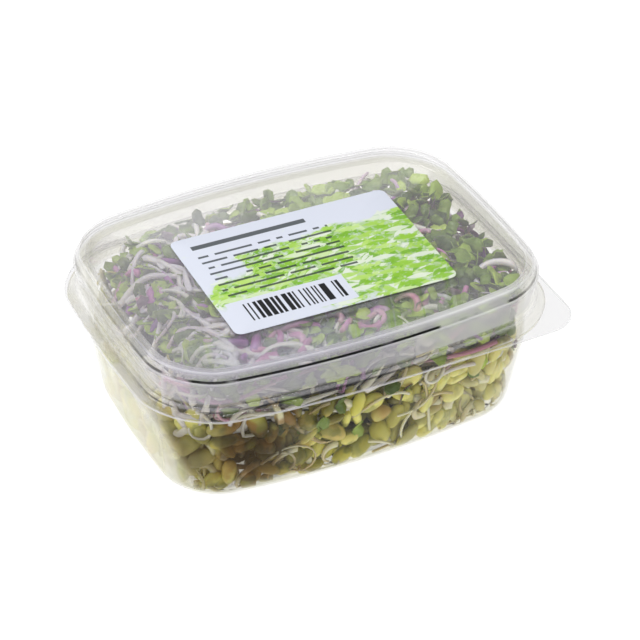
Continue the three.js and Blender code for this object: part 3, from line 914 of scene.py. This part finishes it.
def top_height(x, y):
    """How high the mix reaches at a place: up to the lid, a little lower right by the walls, and
    lowest by the end wall at -X, most of all in its far corner."""
    edge = np.clip((np.maximum(np.abs(x) / 55, np.abs(y) / 41) - 0.8) / 0.2, 0, 1)
    end = np.clip((-x + 0.1 * np.maximum(y, 0) - 41) / 9.5, 0, 1)
    return 43.6 - 1.6 * edge**2 - 9.0 * end**1.6


def top_paths(count, lengths, curl, drops, low=(-45, -33), high=(49, 33)):
    """Paths over the top of the mix between two corners, rising and sinking by a sine."""
    length = draws.uniform(*lengths, count)
    drop = draws.uniform(*drops, count)
    walk = wander(count, length, curl)
    start = draws.beta(1.0, (1.4, 1.0), (count, 2)) * np.subtract(high, low) + low
    flat = start[:, None] + walk - walk[:, STEPS // 2, None]
    swing = np.sin(np.linspace(0, 4.5, STEPS) + draws.uniform(0, 6, (count, 1)))
    height = top_height(flat[..., 0], flat[..., 1]) - drop[:, None] - 1.3 * (1 + swing)
    return np.concatenate([flat, height[..., None]], -1)


def top_stems(count, radii, *way, inset=1.0, palest=1.0):
    """Stems over the top of the mix, along top_paths() of these lengths, curl, drops and corners."""
    base = draws.uniform(*radii, count)
    path = top_paths(count, *way)
    return strand_batch(path, stem_radius(base), draws.uniform(0, palest, count), inset=inset)


def thin_stems(count, radii, *way):
    """The same, with four sides to each stem."""
    path = top_paths(count, *way)
    base = draws.uniform(*radii, count)
    return strand_batch(path, stem_radius(base), draws.uniform(0, 1, count), sides=4, inset=1.0)


def stem_radius(base):
    """A stem's radius falls evenly by 0.45 of itself along its way."""
    return base[:, None] * (1 - 0.45 * np.linspace(0, 1, STEPS))


white_batches = [
    wall_stems(84, (0.6, 1.2), (14, 34), 2.4, 23.0, 37.0),
    top_stems(170, (0.6, 1.5), (10, 26), 1.6, (0.0, 4.0)),
    thin_stems(70, (0.2, 0.38), (12, 30), 1.6, (0.3, 2.5)),
    top_stems(40, (0.75, 1.4), (12, 26), 1.5, (-1.4, 0.4), (-48, -34), (-16, 24), inset=1.5),
]
(points, quads, triangles), *rest = dim_middle(27.0, 38.6, 5.8, -42)
points[..., 2] = np.minimum(points[..., 2], top_height(points[..., 0], points[..., 1]) - 5)
white_batches.append(((points, quads, triangles), *rest))
mesh, marks = joined(white_batches)
white_stems = draw("white_radish_stems", *mesh, **marks)


def white_colour(flesh, place, tint, along):
    """Ivory to greyish white, some blushing pink towards one end. The middle is dim, less so at +X."""
    across = flesh.axes(place)[0]
    body = flesh.mix(tint, (0.88, 0.85, 0.74, 1), (0.8, 0.75, 0.8, 1))
    blush = flesh.step(tint, 0.55, 0.95) * flesh.step(along, 0.3, 1.0)
    body = flesh.mix(blush * 0.6, body, (0.62, 0.36, 0.5, 1))
    middle = flesh.step(across, -0.01, 0.03)
    middle = flesh.mix(middle, (0.045, 0.038, 0.034, 1), (0.2, 0.17, 0.13, 1))
    return flesh.mix(tint > MIDDLE_TINT - 0.5, body, middle)


white_stems.data.materials.append(moist("white_stem_flesh", white_colour, 0.3))
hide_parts("radish_stems_white")

mesh, marks = joined([
    wall_stems(34, (0.55, 0.95), (16, 34), 1.1, 29.0, 38.5),
    top_stems(90, (0.6, 1.5), (7, 15), 1.2, (0.0, 2.4)),
    top_stems(16, (1.1, 1.7), (8, 14), 1.6, (-0.4, 0.6), (-40, -34), (24, -20), inset=1.5, palest=0.8),
])
pink_stems = draw("pink_radish_stems", *mesh, **marks)


def pink_colour(flesh, place, tint, along):
    """Rose, mauve and purple, paler towards the root end."""
    body = flesh.node("ValToRGB", {"Fac": tint}, stops=[
        (0.0, (0.72, 0.3, 0.46)),
        (0.4, (0.6, 0.2, 0.48)),
        (0.75, (0.42, 0.17, 0.46)),
        (1.0, (0.24, 0.1, 0.32)),
    ])
    return flesh.mix(flesh.step(along, 0.3, 1.0) * 0.5, body, (0.78, 0.68, 0.68, 1))


pink_stems.data.materials.append(moist("pink_stem_flesh", pink_colour, 0.3))
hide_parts("radish_stems_pink")


# Radish seed leaves. Each is a thin two-lobed blade with a notch at its tip, folded along its middle
# and cupped. They cover the top of the mix at every lean, and some lie along the walls.

# Shares of the way from the stalk to the edge, and the blade's thickness at each.
LEAF_SHARES = np.array([0.06, 0.6, 1.0])
LEAF_THICKNESS = np.array([0.45, 0.45, 0.45 * 0.35])
LEAF_DIRECTIONS = 7
LEAF_SPREAD = 1.3
LEAF_LENGTH = (3.2, 5.6)
LEAF_SPACING = 4.2
LEFTMOST_LEAF = -46


def leaf_blades(centre, ahead, normal, length):
    """Leaf bodies on a fan of 7 directions x 3 distances from the stalk, with an upper and a lower
    face. The edge lies at 0.78 + 0.27 sin^2(2.3 f) of the length in direction f, less by a third at
    the sides, so that there are two lobes. The blade rises off its middle line and cups back."""
    f = np.linspace(-LEAF_SPREAD, LEAF_SPREAD, LEAF_DIRECTIONS)
    edge = (0.78 + 0.27 * np.sin(2.3 * f) ** 2) * (1 - 0.34 * (f / LEAF_SPREAD) ** 4)
    reach = edge * LEAF_SHARES[:, None]
    x, y = reach * np.sin(f), reach * np.cos(f)
    count = len(centre)
    fold = draws.uniform(0.05, 0.5, (count, 1, 1))
    cup = draws.uniform(-0.25, 0.35, (count, 1, 1))
    z = fold * np.abs(x) - cup * (x**2 + y**2)
    side = np.cross(ahead, normal)
    place = (side[:, None, None] * x[None, ..., None]
             + ahead[:, None, None] * (y - 0.45)[None, ..., None]
             + normal[:, None, None] * z[..., None])
    upper = centre[:, None, None] + place * length[:, None, None, None]
    lower = upper - normal[:, None, None] * LEAF_THICKNESS[None, :, None, None]
    return upper, lower


def double_faced(upper, lower):
    """Closed sheets from two grids each: the upper face, the lower face turned over, and the rim."""
    count, lines, columns, _ = upper.shape
    size = lines * columns
    index = np.arange(size).reshape(lines, columns)
    face = np.stack([index[:-1, :-1], index[1:, :-1], index[1:, 1:], index[:-1, 1:]], -1).reshape(-1, 4)
    loop = np.concatenate([index[0, :-1], index[:-1, -1], index[-1, :0:-1], index[:0:-1, 0]])
    after = np.roll(loop, -1)
    rim = np.stack([loop, after, after + size, loop + size], -1)
    quads = np.concatenate([face, face[:, ::-1] + size, rim])
    base = (np.arange(count) * 2 * size)[:, None, None]
    points = np.concatenate([upper.reshape(count, -1, 3), lower.reshape(count, -1, 3)], 1)
    return points, quads[None] + base, np.zeros((count, 0, 3), int)


def leaf_batch(centre, ahead, normal, lengths, inset):
    """Leaves ready for joined(). along is the share of the way from the stalk, and 2 more below."""
    blades = leaf_blades(centre, ahead, normal, draws.uniform(*lengths, len(centre)))
    points, quads, triangles = double_faced(*blades)
    points = stay_inside(points, inset)
    points[..., 2] = np.minimum(points[..., 2], MIX_TOP)
    along = np.repeat(LEAF_SHARES, LEAF_DIRECTIONS)
    return (points, quads, triangles), draws.uniform(0, 1, len(centre)), np.append(along, along + 2)


def directions(lean):
    """Seeded pairs of square directions: ahead at any turn and leaning by lean, and its normal."""
    turn = draws.uniform(0, 2 * math.pi, lean.shape)
    ahead = np.stack([np.cos(turn) * np.cos(lean), np.sin(turn) * np.cos(lean), np.sin(lean)], -1)
    flat_side = np.stack([-np.sin(turn), np.cos(turn), np.zeros_like(turn)], -1)
    roll = draws.normal(0, 0.5, lean.shape)[..., None]
    up = np.cross(ahead, flat_side)
    return ahead, unit(up * np.cos(roll) + flat_side * np.sin(roll))


def top_leaves(places, drops, inset, lean):
    """Leaves over the top of the mix at flat places, dropped below it, with a mean lean upwards."""
    height = top_height(*places.T) - draws.uniform(*drops, len(places))
    centre = stay_inside(np.concatenate([places, height[:, None]], 1), inset)
    ahead, normal = directions(draws.normal(lean, 0.5, len(places)))
    return leaf_batch(centre, ahead, normal, LEAF_LENGTH, 0.4)


def wall_leaves(count):
    """Leaves flat against the front and side walls, most of them above the beans."""
    turn = draws.uniform(-0.38, 0.36, count)
    is_high = draws.uniform(0, 1, count) < 0.7
    height = np.where(is_high, draws.uniform(30, 39, count), draws.uniform(11, 30, count))
    spot, along, up, out = frame_at(turn, height, draws.uniform(1.0, 3.2, count))
    spin = draws.uniform(0, 2 * math.pi, (count, 1))
    ahead = along * np.cos(spin) + up * np.sin(spin)
    normal = unit(out + draws.normal(0, 0.35, (count, 3)))
    ahead = unit(ahead - (ahead * normal).sum(-1, keepdims=True) * normal)
    return leaf_batch(spot, ahead, normal, (3.6, 5.6), 0.2)


places = draws.beta((1.15, 1.0), 1.0, (620, 2)) * (102, 76) - (51, 38)
places = spread_out(places, 0, LEAF_SPACING)
places[:, 0] = np.maximum(places[:, 0], LEFTMOST_LEAF)
leaf_batches = [top_leaves(places, (0.0, 3.6), 3.0, 0.15)]
places = draws.uniform((-47, -35), (-38, 34), (80, 2))
leaf_batches += [top_leaves(places, (0.2, 2.6), 2.5, 0.3), wall_leaves(95)]
mesh, marks = joined(leaf_batches)
leaves = draw("radish_seed_leaves", *mesh, **marks)


def leaf_colour(flesh, place, tint, along):
    """Fresh green from deep to lime, with purple undersides on some and grey-green ones on others."""
    upper = flesh.node("ValToRGB", {"Fac": tint}, stops=[
        (0.0, (0.03, 0.06, 0.01)),
        (0.3, (0.11, 0.19, 0.02)),
        (0.65, (0.28, 0.42, 0.045)),
        (1.0, (0.52, 0.68, 0.11)),
    ])
    light = flesh.step(flesh.noise(place, 300.0, 3.0), 0.4, 0.8)
    upper = flesh.mix(light * 0.4, upper, (0.38, 0.47, 0.09, 1))
    under = flesh.mix(flesh.step(tint, 0.25, 0.4), (0.22, 0.11, 0.22, 1), (0.24, 0.32, 0.12, 1))
    return flesh.mix(flesh.step(along, 1.4, 1.6), upper, under)


leaves.data.materials.append(moist("leaf_flesh", leaf_colour, 0.35, 0.15))
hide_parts("radish_leaves")


# Label. A paper sticker with rounded corners on the lid's panel, white with a faint lavender cast,
# printed with a leafy green wash, plain ruled lines and a row of plain bars.

LABEL_LENGTH, LABEL_WIDTH, LABEL_RADIUS = 67.3, 48.9, 2.2
LABEL_THICKNESS = 0.2
LABEL_FOOT = PANEL_TOP + 0.05
LABEL_MIDDLE = np.array([2.5, 0.8])
LABEL_TURN = math.radians(-1.1)
LABEL_POINTS = 160
# How far the label's edge is drawn in at each height, so that its upper rim is rounded.
LABEL_EDGE = [(0.0, 0.0), (0.0, 0.1), (0.04, 0.17), (0.12, LABEL_THICKNESS)]
PAPER_WHITE = (0.65, 0.68, 0.77, 1)
INK = (0.03, 0.04, 0.04, 1)
BAR_BLACK = (0.012, 0.012, 0.014, 1)
# Each field of leaf blades: slant, blade's width and length, and seed.
BLADE_FIELDS = [(0.5, 2.2, 7.5, 3.0), (-0.9, 1.5, 5.0, 41.0), (1.5, 2.4, 8.5, 77.0)]
# Rows of dashes: foot, pitch, height, left end, right end, top, dash length.
DASH_ROWS = [(16.6, 4.4, 1.9, -29.0, 9.0, 21.0, 3.1), (-8.0, 2.9, 0.8, -29.0, 11.0, 15.2, 1.9)]
# Left, right, foot and top of the white box in the lower left corner, and of the bars in it.
BAR_BOX = (-31.2, 4.2, -22.2, -9.8)
BARS = (-28.2, 2.2, -20.2, -11.8)
BARS_PER_MM = 2.1


def label_outline(inset):
    """The label's outline, drawn in by inset: straight sides and round corners, even by turn."""
    angle = np.arange(LABEL_POINTS) / LABEL_POINTS * 2 * math.pi
    a, b, r = LABEL_LENGTH / 2 - inset, LABEL_WIDTH / 2 - inset, LABEL_RADIUS
    quarter = np.floor(angle / (math.pi / 2)) * math.pi / 2
    corner = np.clip((angle % (math.pi / 2)) * 2 - math.pi / 4, 0, math.pi / 2) + quarter
    sign_x, sign_y = np.sign(np.cos(quarter + 0.7)), np.sign(np.sin(quarter + 0.7))
    return np.stack([sign_x * (a - r) + r * np.cos(corner), sign_y * (b - r) + r * np.sin(corner)], -1)


flat = np.stack([label_outline(inset) for inset, _ in LABEL_EDGE])
flat = np.concatenate([flat, flat[-1:] * 0.6, flat[-1:] * 0.2])
heights = np.array([z for _, z in LABEL_EDGE] + [LABEL_THICKNESS] * 2) + LABEL_FOOT
cosine, sine = math.cos(LABEL_TURN), math.sin(LABEL_TURN)
turned = flat @ np.array([[cosine, sine], [-sine, cosine]]) + LABEL_MIDDLE
rings = np.concatenate([turned, np.broadcast_to(heights[:, None, None], (*turned.shape[:2], 1))], -1)
tips = np.array([[[*LABEL_MIDDLE, LABEL_FOOT], [*LABEL_MIDDLE, LABEL_FOOT + LABEL_THICKNESS]]])
label = draw("paper_label", *tubes(rings[None], tips))


def blades(paper, across, along, slant, width, length, seed):
    """A field of pointed leaf blades: the paper is cut into slanted columns that are slid by seeded
    amounts and cut to lengths, and each cell holds a blade that is |s| < 0.47 sin(pi t) wide.

    Gives how far inside a blade a place is, and a seeded shade for that blade.
    """
    sine, cosine = math.sin(slant), math.cos(slant)
    u = (across * cosine + along * sine) / width
    column = u.floor() + seed
    v = (along * cosine - across * sine) / length + paper.seeded({"W": column}, "1D") * 5.0
    shade = paper.seeded({"Vector": paper.node("CombineXYZ", {0: column, 1: v.floor()})}, "2D")
    belly = (v.fraction() * math.pi).math("SINE") * 0.47
    return belly - abs(u.fraction() - 0.5), shade


def leafy_wash(paper, across, along, wide, fine):
    """Soft green with leaf blades over it, full at the right and thinning out to the left, the top
    and the foot, and broken by white flecks."""
    reach = (across + 62.0) / 90.0 - abs(along + 3.0) / 50.0 - paper.step(along, 9.0, 17.0) * 0.75
    wash = paper.step(wide + reach * 0.6, 0.58, 0.78)
    soft = paper.mix(fine, (0.22, 0.45, 0.05, 1), (0.5, 0.68, 0.25, 1))
    colour = paper.mix(wash * 0.75, PAPER_WHITE, soft)
    for field in BLADE_FIELDS:
        inside, shade = blades(paper, across, along, *field)
        green = paper.node("ValToRGB", {"Fac": shade}, stops=[
            (0.0, (0.1, 0.3, 0.02)),
            (0.5, (0.26, 0.52, 0.04)),
            (0.75, (0.46, 0.68, 0.16)),
            (0.9, (0.7, 0.76, 0.64)),
        ])
        shown = paper.step(inside, 0.0, 0.05) * paper.step(shade + wash * 0.9 + fine * 0.5, 1.25, 1.35)
        colour = paper.mix(shown * 0.9, colour, green)
    return paper.mix(paper.step(fine, 0.54, 0.66) * 0.5, colour, PAPER_WHITE)


def oblong(paper, across, along, left, right, foot, top, edge=0.2):
    """1 inside an oblong, 0 outside it, with a soft edge on its inner side."""
    wide = paper.step(across, left, left + edge) * paper.step(across, right, right - edge)
    return wide * paper.step(along, foot, foot + edge) * paper.step(along, top, top - edge)


def dashes(paper, across, along, foot, pitch, height, left, right, top, dash):
    """Rows of plain dashes: a row is cut into cells as long as a dash, and four in five are inked."""
    line = (along - foot) / pitch
    in_row = paper.step(abs(line.fraction() - 0.5) * pitch, height / 2 + 0.1, height / 2)
    cell = (across / dash + line.floor() * 0.37).floor()
    inked = paper.seeded({"Vector": paper.node("CombineXYZ", {0: cell, 1: line.floor()})}, "2D") > 0.2
    return in_row * inked * oblong(paper, across, along, left, right, foot, top, 0.1)


def printed_paper():
    """Coated paper: lavender white, with the leafy wash, rows of dashes over it, and a white box of
    bars of seeded widths in the lower left corner."""
    paper = Finish("label_paper")
    place = paper.node("Mapping", {
        "Vector": paper.place(),
        "Location": (*LABEL_MIDDLE / 1000, 0),
        "Rotation": (0, 0, LABEL_TURN),
    }, vector_type="TEXTURE")
    across, along = (coordinate * 1000 for coordinate in paper.axes(place)[:2])
    wide = paper.noise(place, 70.0, 4.0, Roughness=0.65)
    fine = paper.noise(place, 420.0, 4.0, Roughness=0.7)
    colour = leafy_wash(paper, across, along, wide, fine)
    for rows in DASH_ROWS:
        colour = paper.mix(dashes(paper, across, along, *rows) * 0.88, colour, INK)
    colour = paper.mix(oblong(paper, across, along, *BAR_BOX), colour, PAPER_WHITE)
    bar = paper.seeded({"W": (across * BARS_PER_MM).floor()}, "1D") > 0.5
    colour = paper.mix(bar * oblong(paper, across, along, *BARS), colour, BAR_BLACK)
    return paper.surface(paper.node("BsdfPrincipled", {
        "Base Color": colour,
        "Roughness": 0.5,
        "Specular IOR Level": 0.2,
        "Normal": paper.bump(paper.noise(place, 2500.0, 2.0), 0.1, 0.0001),
    }))


label.data.materials.append(printed_paper())
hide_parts("label")
